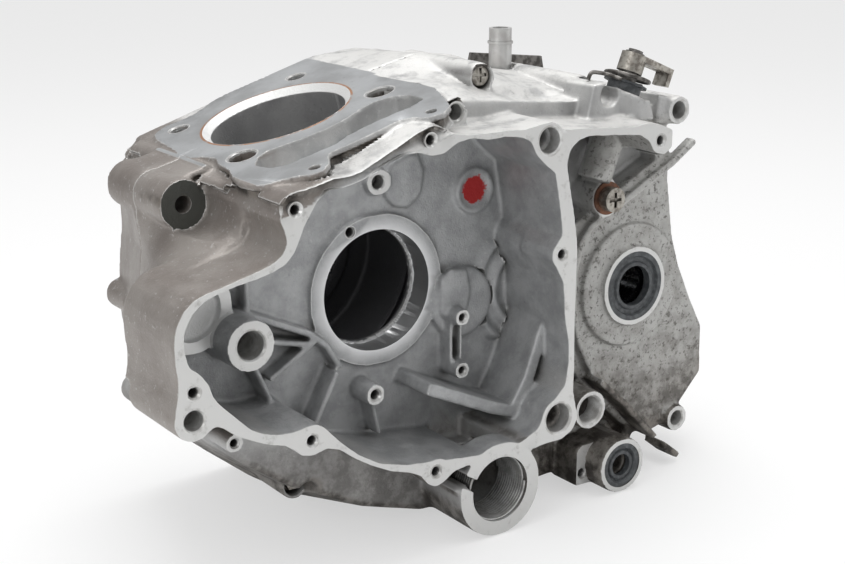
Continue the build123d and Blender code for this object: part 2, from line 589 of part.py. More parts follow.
with BuildPart() as plate_screws:
    for x, z in retainer_screws:
        with BuildSketch(at_y(plate_low + 2 + 3)):
            with Locations((x, z)):
                Circle(4.4)
        extrude(amount=3)
        with BuildSketch(at_y(plate_low + 2)):
            with Locations((x, z)):
                Circle(2.5)
        extrude(amount=12)
        with BuildSketch(at_y(plate_low + 5.1)):
            with Locations((x, z)):
                RegularPolygon(2.0, 6)
        extrude(amount=2, mode=Mode.SUBTRACT)

with BuildPart() as case_screws:
    for x, z in case_screw_spots:
        add(hex_screw(x, z, case_screw_seat_y, screw_hole_r,
                      split_y + case_screw_bite - case_screw_seat_y, 6.2, 8.0, 5.0))

with BuildPart() as split_dowels:
    for x, z in case_screw_spots[:2]:
        with BuildSketch(at_y(split_y + split_dowel_half)):
            with Locations((x, z)):
                Circle(split_dowel_r)
                Circle(split_dowel_hole_r, mode=Mode.SUBTRACT)
        extrude(amount=2 * split_dowel_half)

# Oil gallery screw with a cross slot and its copper washer
washer_t = 1.5
with BuildPart() as gallery_washer:
    with BuildSketch(at_y(gallery_y)):
        with Locations((gallery_x, gallery_z)):
            Circle(10.4)
            Circle(5.0, mode=Mode.SUBTRACT)
    extrude(amount=washer_t)

with BuildPart() as gallery_screw:
    head_y = gallery_y - washer_t
    with BuildSketch(at_y(head_y)):
        with Locations((gallery_x, gallery_z)):
            Circle(7.6)
    extrude(amount=7)
    with BuildSketch(at_y(head_y + 12)):
        with Locations((gallery_x, gallery_z)):
            Circle(5.0)
    extrude(amount=12)
    with BuildSketch(at_y(head_y - 5)):
        with Locations((gallery_x, gallery_z)):
            Rectangle(9.5, 2.0)
            Rectangle(2.0, 9.5)
    extrude(amount=3, mode=Mode.SUBTRACT)

with BuildPart() as breather_nipple:
    steps = [
        (-spigot_deep, 0, spigot_r), (0, 1, nipple_r + 0.8), (1, 16.5, nipple_r),
        (16.5, 18, nipple_r + 0.8), (18, 26.4, nipple_r - 0.1),
    ]
    for low, high, r in steps:
        with BuildSketch(Plane.XY.offset(nipple_z + low)):
            with Locations((nipple_x, nipple_y)):
                Circle(r)
        extrude(amount=high - low)
    with BuildSketch(Plane.XY.offset(nipple_z + 27)):
        with Locations((nipple_x, nipple_y)):
            Circle(nipple_bore_r)
    extrude(amount=-26, mode=Mode.SUBTRACT)
    with BuildSketch(Plane.XY.offset(nipple_z + 2)):
        with Locations((nipple_x, nipple_y)):
            Circle(breather_r)
    extrude(amount=-3 - spigot_deep, mode=Mode.SUBTRACT)

# Clutch release: shaft in a bore of the left half, arm on top, coil return spring round it
with BuildPart() as release_shaft:
    with BuildSketch(release_plane.offset(-30)):
        Circle(release_shaft_d / 2)
    extrude(amount=30 + arm_high + arm_t + 1)
    with BuildSketch(release_plane.offset(arm_high + arm_t + 1)):
        Circle(release_shaft_d / 2 - 1.5)
    extrude(amount=1.5)

with BuildPart() as release_arm:
    with BuildSketch(release_plane.offset(hub_low)):
        Circle(hub_r)
    extrude(amount=arm_high + arm_t - hub_low)
    with BuildSketch(release_plane.offset(arm_high)):
        with BuildLine():
            Polyline((-hub_r, 0), (-6, -arm_reach), (6, -arm_reach), (hub_r, 0), close=True)
        make_face()
    extrude(amount=arm_t)
    # Lip turned down at the cable end
    with BuildSketch(release_plane.offset(arm_high - 8)):
        with Locations((0, -arm_reach + 1.5)):
            Rectangle(12, 3)
    extrude(amount=8)
    with BuildSketch(release_plane.offset(hub_low - 1)):
        Circle(release_shaft_d / 2)
    extrude(amount=arm_high + arm_t - hub_low + 2, mode=Mode.SUBTRACT)
    with BuildSketch(release_plane.offset(arm_high - 1)):
        with Locations((0, -arm_reach + 8)):
            Circle(3)
    extrude(amount=arm_t + 2, mode=Mode.SUBTRACT)

# Dust collar with a thin flange that carries the spring
with BuildPart() as release_dust_seal:
    flange_low = release_top + collar_high - 1.2
    for low, high, r in ((release_top, flange_low, collar_r), (flange_low, flange_low + 1.2, spring_r)):
        with BuildSketch(release_plane.offset(low)):
            Circle(r)
            Circle(release_shaft_d / 2 + running, mode=Mode.SUBTRACT)
        extrude(amount=high - low)

with BuildPart() as release_spring:
    coil_start = release_plane.offset(spring_low + wire_r).origin
    with BuildLine() as coil:
        Helix(spring_pitch, spring_turns * spring_pitch, spring_r, coil_start, release_axis)
    with BuildSketch(Plane(coil.line @ 0, z_dir=coil.line % 0)):
        Circle(wire_r)
    sweep()

pieces = {
    "left_case_half": left_case_half.part,
    "right_case_half": right_case_half.part,
    "output_shaft_seal": output_shaft_seal,
    "shift_shaft_seal": shift_shaft_seal,
    "bearing_plate": bearing_plate.part,
    "plate_screws": plate_screws.part,
    "case_screws": case_screws.part,
    "split_dowels": split_dowels.part,
    "gallery_washer": gallery_washer.part,
    "gallery_screw": gallery_screw.part,
    "breather_nipple": breather_nipple.part,
    "release_shaft": release_shaft.part,
    "release_arm": release_arm.part,
    "release_dust_seal": release_dust_seal.part,
    "release_spring": release_spring.part,
}
for place, made in bearings.items():
    for kind, piece in zip(("outer_ring", "inner_ring", "cage", "balls"), made):
        pieces[place + "_bearing_" + kind] = piece

for name, piece in pieces.items():
    piece.label = name
    export_step(piece, "parts/" + name + ".step")
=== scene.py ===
import json
from math import cos, radians, sin

import bpy
import numpy as np
from mathutils import Matrix, Vector


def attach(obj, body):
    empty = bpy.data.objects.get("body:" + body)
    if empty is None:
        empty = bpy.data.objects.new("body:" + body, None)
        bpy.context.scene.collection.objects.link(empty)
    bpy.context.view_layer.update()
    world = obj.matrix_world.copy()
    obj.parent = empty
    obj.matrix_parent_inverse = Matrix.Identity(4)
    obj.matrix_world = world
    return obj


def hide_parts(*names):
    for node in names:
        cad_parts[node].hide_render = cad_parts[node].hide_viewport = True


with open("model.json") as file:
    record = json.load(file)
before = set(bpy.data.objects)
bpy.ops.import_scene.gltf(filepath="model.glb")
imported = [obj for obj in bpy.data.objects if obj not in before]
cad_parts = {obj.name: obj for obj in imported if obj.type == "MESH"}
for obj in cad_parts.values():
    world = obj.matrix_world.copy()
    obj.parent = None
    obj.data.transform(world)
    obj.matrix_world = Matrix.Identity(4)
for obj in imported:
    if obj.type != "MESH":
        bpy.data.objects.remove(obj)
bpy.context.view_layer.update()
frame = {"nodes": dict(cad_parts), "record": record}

mm = 0.001
nodes = frame["nodes"]

# Places shared by several pieces, in mm. X to the rear, Y to the clutch side, Z up
place = {
    "rimY": -54.0, "plateY": -14.0, "floorY": 3.0, "splitY": 61.0, "farRimY": 132.0,
    "deckLean": 16.8, "deckHigh": 101.9, "boreR": 40.5, "mouthR": 44.4, "seatR": 36.0,
}
lean = radians(place["deckLean"])
deckAxis = Vector((-sin(lean), 0, cos(lean)))


# Camera, floor and light
view = {
    "azimuth": -34.71, "elevation": 15.86, "lens": 66.04,
    "location": (-467.77, -720.98, 249.05),
}
studio = {
    "floorZ": -146.2, "floorWide": 30.0, "floorTone": 0.90, "floorRough": 0.5, "floorGlow": 0.55,
    "worldStrength": 0.66, "low": -0.3, "high": 0.8, "lowTone": 0.22, "highTone": 1.15,
}
# Lamps: place in metres, size and power
lamps = {
    "topLamp": ((0.15, 0.25, 1.5), 1.2, 17.0),
    "leftLamp": ((-1.3, -0.5, 0.6), 0.7, 5.5),
    "rightLamp": ((1.2, -0.9, 0.5), 0.7, 3.0),
}


def deselectAll():
    bpy.ops.object.select_all(action="DESELECT")


def choose(obj):
    deselectAll()
    obj.select_set(True)
    bpy.context.view_layer.objects.active = obj


def link(obj):
    bpy.context.scene.collection.objects.link(obj)
    return obj


def makeCamera():
    cam = bpy.data.cameras.new("camera")
    cam.lens = view["lens"]
    cam.sensor_width = 36.0
    cam.clip_start, cam.clip_end = 0.05, 20.0
    obj = link(bpy.data.objects.new("camera", cam))
    az, el = radians(view["azimuth"]), radians(view["elevation"])
    back = Vector((sin(az) * cos(el), -cos(az) * cos(el), sin(el)))
    obj.rotation_mode = "QUATERNION"
    obj.rotation_quaternion = back.to_track_quat("Z", "Y")
    obj.location = Vector(view["location"]) * mm
    bpy.context.scene.camera = obj


def areaLamp(name, location, size, power):
    lamp = bpy.data.lights.new(name, "AREA")
    lamp.shape = "SQUARE"
    lamp.size = size
    lamp.energy = power
    obj = link(bpy.data.objects.new(name, lamp))
    obj.location = location
    obj.rotation_mode = "QUATERNION"
    obj.rotation_quaternion = Vector(location).to_track_quat("Z", "Y")


def makeStudio():
    scene = bpy.context.scene
    scene.view_settings.view_transform = "Standard"
    world = bpy.data.worlds.new("studio")
    scene.world = world
    world.use_nodes = True
    tree = world.node_tree
    tree.nodes.clear()
    out = tree.nodes.new("ShaderNodeOutputWorld")
    light = tree.nodes.new("ShaderNodeBackground")
    light.inputs["Strength"].default_value = studio["worldStrength"]
    seen = tree.nodes.new("ShaderNodeBackground")
    seen.inputs["Color"].default_value = (1, 1, 1, 1)
    coord = tree.nodes.new("ShaderNodeTexCoord")
    split = tree.nodes.new("ShaderNodeSeparateXYZ")
    tree.links.new(coord.outputs["Generated"], split.inputs[0])
    ramp = tree.nodes.new("ShaderNodeMapRange")     # darker low down, so that the walls keep their form
    ramp.inputs["From Min"].default_value = studio["low"]
    ramp.inputs["From Max"].default_value = studio["high"]
    ramp.inputs["To Min"].default_value = studio["lowTone"]
    ramp.inputs["To Max"].default_value = studio["highTone"]
    tree.links.new(split.outputs["Z"], ramp.inputs["Value"])
    tree.links.new(ramp.outputs["Result"], light.inputs["Color"])
    path = tree.nodes.new("ShaderNodeLightPath")
    mix = tree.nodes.new("ShaderNodeMixShader")
    tree.links.new(path.outputs["Is Camera Ray"], mix.inputs[0])
    tree.links.new(light.outputs[0], mix.inputs[1])
    tree.links.new(seen.outputs[0], mix.inputs[2])
    tree.links.new(mix.outputs[0], out.inputs["Surface"])

    deselectAll()
    bpy.ops.mesh.primitive_plane_add(size=studio["floorWide"], location=(0, 0, studio["floorZ"] * mm))
    floor = bpy.context.active_object
    floor.name = "floor"
    mat = bpy.data.materials.new("floor")
    mat.use_nodes = True
    shader = mat.node_tree.nodes["Principled BSDF"]
    tone = studio["floorTone"]
    shader.inputs["Base Color"].default_value = (tone, tone, tone, 1)
    shader.inputs["Roughness"].default_value = studio["floorRough"]
    tree = mat.node_tree
    glow = tree.nodes.new("ShaderNodeEmission")      # the floor looks white, and keeps its shadow
    path = tree.nodes.new("ShaderNodeLightPath")
    share = tree.nodes.new("ShaderNodeMath")
    share.operation = "MULTIPLY"
    share.inputs[1].default_value = studio["floorGlow"]
    mix = tree.nodes.new("ShaderNodeMixShader")
    tree.links.new(path.outputs["Is Camera Ray"], share.inputs[0])
    tree.links.new(share.outputs[0], mix.inputs[0])
    tree.links.new(shader.outputs[0], mix.inputs[1])
    tree.links.new(glow.outputs[0], mix.inputs[2])
    tree.links.new(mix.outputs[0], tree.nodes["Material Output"].inputs["Surface"])
    floor.data.materials.append(mat)

    for name, (location, size, power) in lamps.items():
        areaLamp(name, location, size, power)


# Small helpers for the node trees of the finishes
def addNode(tree, kind, **values):
    made = tree.nodes.new(kind)
    for key, value in values.items():
        if hasattr(made, key):
            setattr(made, key, value)
        else:
            made.inputs[key].default_value = value
    return made


def join(tree, source, target):
    tree.links.new(source, target)


def calc(tree, operation, first, second=0.0, third=None):
    made = addNode(tree, "ShaderNodeMath", operation=operation)
    for socket, value in zip(made.inputs, (first, second, third)):
        if value is None:
            continue
        if isinstance(value, (int, float)):
            socket.default_value = value
        else:
            join(tree, value, socket)
    return made.outputs[0]


def times(tree, *values):
    result = values[0]
    for value in values[1:]:
        result = calc(tree, "MULTIPLY", result, value)
    return result


def opposite(tree, value):
    return calc(tree, "SUBTRACT", 1.0, value)


def length(tree, first, second):
    return calc(tree, "SQRT", calc(tree, "ADD", times(tree, first, first), times(tree, second, second)))


def distance(tree, x, z, spot):
    return length(tree, calc(tree, "SUBTRACT", x, spot[0] * mm), calc(tree, "SUBTRACT", z, spot[1] * mm))


def span(tree, value, low, high, toLow=0.0, toHigh=1.0):
    made = addNode(tree, "ShaderNodeMapRange", interpolation_type="SMOOTHSTEP")
    for key, number in (("From Min", low), ("From Max", high), ("To Min", toLow), ("To Max", toHigh)):
        made.inputs[key].default_value = number
    join(tree, value, made.inputs["Value"])
    return made.outputs["Result"]


def blendColour(tree, amount, first, second, mode="MIX"):
    made = addNode(tree, "ShaderNodeMix", data_type="RGBA", blend_type=mode)
    for socket, value in ((made.inputs[0], amount), (made.inputs[6], first), (made.inputs[7], second)):
        if isinstance(value, (int, float)):
            socket.default_value = value
        elif isinstance(value, tuple):
            socket.default_value = (*value, 1)
        else:
            join(tree, value, socket)
    return made.outputs[2]


def grain(tree, coord, scale, detail=3.0, rough=0.55):
    made = addNode(tree, "ShaderNodeTexNoise")
    made.inputs["Scale"].default_value = scale
    made.inputs["Detail"].default_value = detail
    made.inputs["Roughness"].default_value = rough
    join(tree, coord, made.inputs["Vector"])
    return made.outputs["Fac"]


def readLayer(tree, name):
    layer = addNode(tree, "ShaderNodeAttribute", attribute_name=name)
    split = addNode(tree, "ShaderNodeSeparateColor")
    join(tree, layer.outputs["Color"], split.inputs[0])
    return split.outputs


def findHollows(tree, reach, first=0.80, last=0.35):
    made = addNode(tree, "ShaderNodeAmbientOcclusion", samples=6)
    made.inputs["Distance"].default_value = reach
    return span(tree, made.outputs["AO"], first, last)


def findEdges(tree, radius):
    soft = addNode(tree, "ShaderNodeBevel", samples=4)
    soft.inputs["Radius"].default_value = radius
    plain = addNode(tree, "ShaderNodeNewGeometry")
    turn = addNode(tree, "ShaderNodeVectorMath", operation="DOT_PRODUCT")
    join(tree, soft.outputs["Normal"], turn.inputs[0])
    join(tree, plain.outputs["Normal"], turn.inputs[1])
    return span(tree, turn.outputs["Value"], 0.99, 0.92)


def startFinish(name):
    mat = bpy.data.materials.new(name)
    mat.use_nodes = True
    tree = mat.node_tree
    shader = tree.nodes["Principled BSDF"]
    coord = addNode(tree, "ShaderNodeTexCoord").outputs["Object"]
    return mat, tree, shader, coord


def addBump(tree, shader, height, strength, distance):
    made = addNode(tree, "ShaderNodeBump")
    made.inputs["Strength"].default_value = strength
    made.inputs["Distance"].default_value = distance
    join(tree, height, made.inputs["Height"])
    join(tree, made.outputs["Normal"], shader.inputs["Normal"])


# Finish of the castings: bare cast metal, machined faces, painted front, stains and grime, with painted
# shade in hollows, under the deck, low down and in the crank room, and painted top light on the roof
castLook = {
    # The roof colour is painted top light; the room, grime and hollow colours below stand for painted shade
    "light": (0.47, 0.47, 0.465), "dark": (0.35, 0.35, 0.35), "roof": (0.66, 0.655, 0.64),
    "chamberLight": (0.41, 0.415, 0.42), "chamberDark": (0.30, 0.305, 0.31),
    "machined": (0.60, 0.60, 0.59), "machinedStain": (0.34, 0.335, 0.32),
    "deck": (0.40, 0.41, 0.42), "deckDark": (0.28, 0.285, 0.29),
    "plate": (0.43, 0.428, 0.415), "plateSpeck": (0.075, 0.07, 0.062),
    "paint": (0.200, 0.176, 0.160), "paintPale": (0.285, 0.262, 0.243), "scuff": (0.46, 0.45, 0.44),
    "room": (0.062, 0.062, 0.068), "grimeAndShade": (0.035, 0.030, 0.026), "grimeAndShadeBrown": (0.17, 0.148, 0.125),
    "red": (0.42, 0.022, 0.022), "copper": (0.34, 0.16, 0.075), "bright": (0.80, 0.80, 0.79),
    "speckDark": (0.16, 0.16, 0.155), "speckPale": (0.66, 0.66, 0.65), "plateDark": (0.31, 0.305, 0.29),
    "hollowShade": (0.11, 0.108, 0.10), "edge": (0.72, 0.72, 0.71), "deckSpeck": (0.17, 0.17, 0.17),
    "polished": (0.60, 0.605, 0.61), "mountFace": (0.085, 0.088, 0.080), "cup": (0.70, 0.70, 0.69),
    "metallic": 0.42,
}
# Marks of their own on the castings, in mm: x and z of the front mount, the bright cup and the red dab
marks = {"mount": (-108, 60), "cup": (-123, 11), "dab": (70, 50.5)}


def castFinish():
    mat, tree, shader, coord = startFinish("castAluminium")
    pos = addNode(tree, "ShaderNodeSeparateXYZ")
    join(tree, coord, pos.inputs[0])
    x, y, z = pos.outputs
    # The third channel of the zone layer marks where painted shade darkens the crank room and the bore
    machined, chamber, inside = list(readLayer(tree, "zone"))[:3]
    # The second channel of this layer marks the painted shadow under the deck's edge
    paint, lip = list(readLayer(tree, "paintAndLipShadow"))[:2]
    grimeAndShade, plate, polished = list(readLayer(tree, "stain"))[:3]
    roof, deck = list(readLayer(tree, "tone"))[:2]

    # Faces that look along Y, along the deck's axis and upwards
    facing = addNode(tree, "ShaderNodeSeparateXYZ")
    join(tree, addNode(tree, "ShaderNodeTexCoord").outputs["Normal"], facing.inputs[0])
    flat = span(tree, calc(tree, "ABSOLUTE", facing.outputs[1]), 0.86, 0.93)
    level = calc(tree, "ADD", times(tree, facing.outputs[0], deckAxis[0]),
                 times(tree, facing.outputs[2], deckAxis[2]))
    machined = times(tree, machined, flat)
    deck = times(tree, deck, span(tree, level, 0.90, 0.96))
    # Painted light: only upward-facing roof gets the lighter colour
    roof = times(tree, roof, span(tree, facing.outputs[2], 0.10, 0.5))
    # Painted shade: ambient occlusion finds the hollows, which are darkened
    hollowShade = findHollows(tree, 0.007)
    edge = times(tree, findEdges(tree, 0.0015), opposite(tree, hollowShade))
    # Painted shadow: the band under the deck's edge joins the grime, on walls only
    grimeAndShade = calc(tree, "MAXIMUM", grimeAndShade, times(tree, lip, span(tree, level, 0.75, 0.40)))
    # Painted shade: narrow hollows outside the chamber, found by ambient occlusion, are darkened with the
    # grime
    crevice = times(tree, findHollows(tree, 0.004, 0.45, 0.15), opposite(tree, chamber), 0.5)
    grimeAndShade = calc(tree, "MAXIMUM", grimeAndShade, crevice)

    broad = grain(tree, coord, 24, 5, 0.6)
    blotch = grain(tree, coord, 70, 6, 0.65)
    speck = grain(tree, coord, 330, 4, 0.7)
    fine = grain(tree, coord, 900, 2)

    # Cast skin, the chamber, darker partly as painted shade, and the roof with painted top light
    colour = blendColour(tree, span(tree, broad, 0.36, 0.64), castLook["dark"], castLook["light"])
    # Painted light: the upward-facing roof is made lighter
    colour = blendColour(tree, times(tree, roof, span(tree, blotch, 0.30, 0.55)), colour, castLook["roof"])
    patch = span(tree, blotch, 0.34, 0.66)
    # The chamber is darker than the outside: partly its own bluish tone, partly painted shade of the recess
    chamberTone = blendColour(tree, patch, castLook["chamberDark"], castLook["chamberLight"])
    colour = blendColour(tree, chamber, colour, chamberTone)
    colour = blendColour(tree, span(tree, speck, 0.60, 0.75, 0, 0.45), colour, castLook["speckDark"])
    colour = blendColour(tree, span(tree, speck, 0.40, 0.27, 0, 0.30), colour, castLook["speckPale"])

    # Plate on the sprocket side, with dark specks and an oily film
    plateTone = blendColour(tree, span(tree, blotch, 0.38, 0.66), castLook["plate"], castLook["plateDark"])
    coarse = span(tree, grain(tree, coord, 150, 5, 0.75), 0.56, 0.68)
    pits = calc(tree, "MAXIMUM", span(tree, speck, 0.54, 0.66), coarse)
    plateTone = blendColour(tree, times(tree, pits, 0.8), plateTone, castLook["plateSpeck"])
    colour = blendColour(tree, plate, colour, plateTone)

    # Grey-brown paint on the outside of the front, scuffed to the metal on its edges
    paintTone = blendColour(tree, span(tree, broad, 0.35, 0.65), castLook["paint"], castLook["paintPale"])
    rubbed = times(tree, edge, span(tree, blotch, 0.4, 0.6))
    worn = calc(tree, "MAXIMUM", span(tree, speck, 0.60, 0.68, 0, 0.7), rubbed)
    paintTone = blendColour(tree, worn, paintTone, castLook["scuff"])
    colour = blendColour(tree, paint, colour, paintTone)

    # Painted shade darkens the hollows, edges are painted lighter, the crank room and the bore are painted
    # dark as shade, and the belly gets grime with painted shade
    colour = blendColour(tree, times(tree, hollowShade, 0.75), colour, castLook["hollowShade"])
    colour = blendColour(tree, times(tree, edge, 0.8), colour, castLook["edge"])
    # Painted shade: the crank room inside and the bore are painted dark
    colour = blendColour(tree, inside, colour, castLook["room"])
    patch = span(tree, blotch, 0.40, 0.60)
    # Grime with painted shade: the belly, the band under the deck and the narrow hollows are darkened brown,
    # then darker in patches
    colour = blendColour(tree, times(tree, grimeAndShade, 0.8), colour, castLook["grimeAndShadeBrown"])
    colour = blendColour(tree, times(tree, grimeAndShade, patch), colour, castLook["grimeAndShade"])

    # Machined faces
    stain = times(tree, span(tree, grain(tree, coord, 110, 6, 0.75), 0.54, 0.72), 0.75)
    machinedTone = blendColour(tree, stain, castLook["machined"], castLook["machinedStain"])
    colour = blendColour(tree, machined, colour, machinedTone)
    deckTone = blendColour(tree, span(tree, broad, 0.35, 0.65), castLook["deck"], castLook["deckDark"])
    deckTone = blendColour(tree, span(tree, speck, 0.60, 0.72, 0, 0.5), deckTone, castLook["deckSpeck"])
    colour = blendColour(tree, deck, colour, deckTone)
    colour = blendColour(tree, polished, colour, castLook["polished"])

    # Dark face of the front mount
    face = times(tree, flat, span(tree, distance(tree, x, z, marks["mount"]), 0.0150, 0.0145),
                 span(tree, y, 0.0245, 0.0252), span(tree, y, 0.0275, 0.0268))
    colour = blendColour(tree, face, colour, castLook["mountFace"])

    # Chamfer of the cylinder bore, and the copper line that a gasket left round it
    along = calc(tree, "ADD", times(tree, x, cos(lean)), times(tree, z, sin(lean)))
    high = calc(tree, "ADD", times(tree, x, -sin(lean)), times(tree, z, cos(lean)))
    away = length(tree, along, calc(tree, "SUBTRACT", y, place["splitY"] * mm))
    top = span(tree, high, 0.0975, 0.0982)
    ring = times(tree, span(tree, away, 0.0404, 0.0406), span(tree, away, 0.0446, 0.0444), top)
    colour = blendColour(tree, ring, colour, castLook["bright"])
    line = times(tree, span(tree, away, 0.0445, 0.0447), span(tree, away, 0.0462, 0.0458), top)
    colour = blendColour(tree, times(tree, line, span(tree, blotch, 0.36, 0.50)), colour, castLook["copper"])

    # Bright machined cup at the front of the chamber
    cup = times(tree, span(tree, distance(tree, x, z, marks["cup"]), 0.0243, 0.0238),
                span(tree, y, -0.0125, -0.0115), span(tree, y, 0.030, 0.029))
    colour = blendColour(tree, times(tree, cup, chamber, 0.85), colour, castLook["cup"])

    # Dab of red paint on the round pad, with a ragged edge
    ragged = times(tree, calc(tree, "SUBTRACT", grain(tree, coord, 420, 5, 0.8), 0.5), 0.011)
    dab = calc(tree, "ADD", distance(tree, x, z, marks["dab"]), ragged)
    dab = times(tree, span(tree, dab, 0.0086, 0.0080), chamber)
    colour = blendColour(tree, dab, colour, castLook["red"])

    join(tree, colour, shader.inputs["Base Color"])
    metallic = calc(tree, "MAXIMUM", times(tree, polished, 0.85), castLook["metallic"])
    join(tree, metallic, shader.inputs["Metallic"])
    smooth = calc(tree, "MAXIMUM", calc(tree, "MAXIMUM", machined, deck), polished)
    rough = span(tree, smooth, 0, 1, 0.46, 0.32)
    rough = calc(tree, "ADD", rough, times(tree, calc(tree, "SUBTRACT", blotch, 0.5), 0.2))
    join(tree, rough, shader.inputs["Roughness"])
    skin = calc(tree, "ADD", fine, times(tree, speck, 1.4))
    height = times(tree, skin, span(tree, smooth, 0, 1, 1.0, 0.12))
    addBump(tree, shader, height, 0.45, 0.0005)
    return mat


def plainMetal(name, light, dark, rough, metallic, scale=240, occlusionShadeAmount=0.5):
    mat, tree, shader, coord = startFinish(name)
    spots = grain(tree, coord, scale, 4)
    colour = blendColour(tree, span(tree, spots, 0.40, 0.64), light, dark)
    # Painted shade: hollows found by ambient occlusion are darkened
    occlusionShade = times(tree, findHollows(tree, 0.006), occlusionShadeAmount)
    colour = blendColour(tree, occlusionShade, colour, (0.03, 0.028, 0.026))
    join(tree, colour, shader.inputs["Base Color"])
    join(tree, span(tree, spots, 0.3, 0.7, rough * 0.85, rough * 1.2), shader.inputs["Roughness"])
    shader.inputs["Metallic"].default_value = metallic
    addBump(tree, shader, grain(tree, coord, scale * 4, 2), 0.2, 0.0002)
    return mat


def rubberFinish():
    mat, tree, shader, coord = startFinish("sealRubber")
    spots = grain(tree, coord, 300, 4)
    colour = blendColour(tree, span(tree, spots, 0.40, 0.66), (0.042, 0.046, 0.050), (0.085, 0.092, 0.097))
    join(tree, colour, shader.inputs["Base Color"])
    shader.inputs["Roughness"].default_value = 0.5
    addBump(tree, shader, grain(tree, coord, 900, 2), 0.2, 0.0002)
    return mat


# Castings: the two halves get the rounded inner corners and soft edges of a casting
castings = {
    "voxel": 1.1, "rounds": 7, "hold": 0.72,
    "triangles": 192000, "lip": 2.4,
}
ridges = {"x": 112, "z": -14, "radii": (39, 27), "half": 34, "width": 3.6, "high": 4.0}
# Boss of the release shaft: low and high are measured along the shaft from its centre
releaseBoss = {"centre": (167.0, -14.0, 92.0), "lean": 22.0, "r": 10.5, "low": -46, "high": -12}
coverScrews = [(-84, 69), (0, 96), (93, 19), (4, -95), (-77, -58), (-145, -17), (167, 78)]
# Holes with a turned edge of their own: x, z, face y, radius, depth, outer radius
lined = [(x, z, -54, 3.0, 18, 4.5) for x, z in coverScrews] + [
    (82, 87, -54, 7.5, 9.9, 9.2), (93, -82, -54, 8.9, 9.9, 10.6), (132, -90, -38, 8.9, 13, 10.6),
    (-145.5, -32, -54, 5.5, 30, 7.0), (-98, -8, -28, 8.0, 26, 9.6), (-12, -57, -16, 3.2, 14, 4.6),
    (51, -22, -14, 2.5, 11, 3.8), (51, -55, -14, 2.5, 11, 3.8), (0, 64, -2, 4.0, 10, 5.2),
    (-18, 37, 0, 3.0, 16, 3.5), (214, 87, -20, 5.6, 30, 7.2), (226, -122, -18, 5.0, 30, 6.6),
    (32, 105, -32, 4.5, 30, 6.2), (130, -133, -34, 3.0, 12, 4.2), (-114, -57, -36, 2.5, 12, 3.7),
]
leftBores = [
    (0, 0, 36.0, 0, 17), (0, 0, 34.5, 17, 20), (50, -117, 20.0, -54, -8), (181, -22, 22.5, -21, -13),
    (151, -128, 14.5, -48, -41), (-108, 60, 5.0, 26, 61), (155, 38.5, 5.0, -20, -6),
]
leftFaces = [
    (0, 0, 45, 0), (-98, -8, 14.5, -28), (0, 64, 8, -2), (-12, -57, 6.5, -16), (51, -22, 5.4, -14),
    (51, -55, 5.4, -14), (-123, 11, 24, -10), (151, -128, 18, -48), (132, -90, 12.5, -38),
    (181, -22, 25.5, -21), (214, 87, 9, -20), (226, -122, 9, -18), (-108, 60, 15, 26),
    (133, -128, 14, -34), (32, 105, 8.5, -32), (-114, -57, 5.5, -36), (155, 38.5, 11.5, -20.5),
]
rightBores = [(0, 0, 36.0, 102, 119), (118, 8, 26.0, 101, 116), (-108, 60, 5.0, 61, 96)]
rightFaces = [(-108, 60, 14, 96)]
studs = [(-47, 20), (47, 20), (-42, 107), (42, 107)]
# Inner edge of the generator chamber's rim, and a line round the crank and gear room
chamberLine = [
    (-79, 60), (-91, 41), (-118, 34.5), (-137, 29.5), (-148.5, 16), (-149.5, 7), (-147, -3),
    (-136.5, -14), (-129, -28), (-114, -43), (-90, -50.5), (-69, -52), (-48, -72.5), (-16, -86),
    (46, -92.5), (77, -85.5), (90, -69), (99.5, -48), (94, 2), (86, 17), (92.5, 31), (86, 68),
    (68, 88), (50, 92.5), (18, 93), (1, 87), (-18, 90), (-54, 77), (-71, 72),
]
roomLine = [(-115, 60), (-115, -100), (0, -140), (240, -120), (240, -20), (210, 90), (40, 112)]
roomMiddle = np.array([55.0, 60.0, -20.0])


def copyNode(node, name):
    made = link(bpy.data.objects.new(name, nodes[node].data.copy()))
    made.data.name = name
    made.data.materials.clear()
    choose(made)
    bpy.ops.object.mode_set(mode="EDIT")
    bpy.ops.mesh.select_all(action="SELECT")
    bpy.ops.mesh.remove_doubles(threshold=0.00001)
    bpy.ops.object.mode_set(mode="OBJECT")
    return made


def addReleaseBoss(obj):
    # The bore of the release shaft runs down through a round boss of the casting
    low, high, turn = releaseBoss["low"], releaseBoss["high"], radians(releaseBoss["lean"])
    middle = Vector(releaseBoss["centre"]) + Vector((sin(turn), 0, cos(turn))) * (low + high) / 2
    deselectAll()
    bpy.ops.mesh.primitive_cylinder_add(vertices=48, radius=releaseBoss["r"] * mm, depth=(high - low) * mm,
                                        location=middle * mm, rotation=(0, turn, 0))
    boss = bpy.context.active_object
    choose(obj)
    boss.select_set(True)
    bpy.ops.object.join()


def applyModifier(obj, kind, **values):
    made = obj.modifiers.new(kind.lower(), kind)
    for key, value in values.items():
        setattr(made, key, value)
    bpy.context.view_layer.objects.active = obj
    bpy.ops.object.modifier_apply(modifier=made.name)


def readPoints(obj):
    flat = np.empty(len(obj.data.vertices) * 3, np.float32)
    obj.data.vertices.foreach_get("co", flat)
    return flat.reshape(-1, 3).astype(np.float64) / mm


def writePoints(obj, points):
    obj.data.vertices.foreach_set("co", (points * mm).astype(np.float32).ravel())
    obj.data.update()


def readNormals(obj):
    flat = np.empty(len(obj.data.vertices) * 3, np.float32)
    obj.data.vertex_normals.foreach_get("vector", flat)
    return flat.reshape(-1, 3).astype(np.float64)


def readEdges(obj):
    flat = np.empty(len(obj.data.edges) * 2, np.int32)
    obj.data.edges.foreach_get("vertices", flat)
    return flat.reshape(-1, 2)


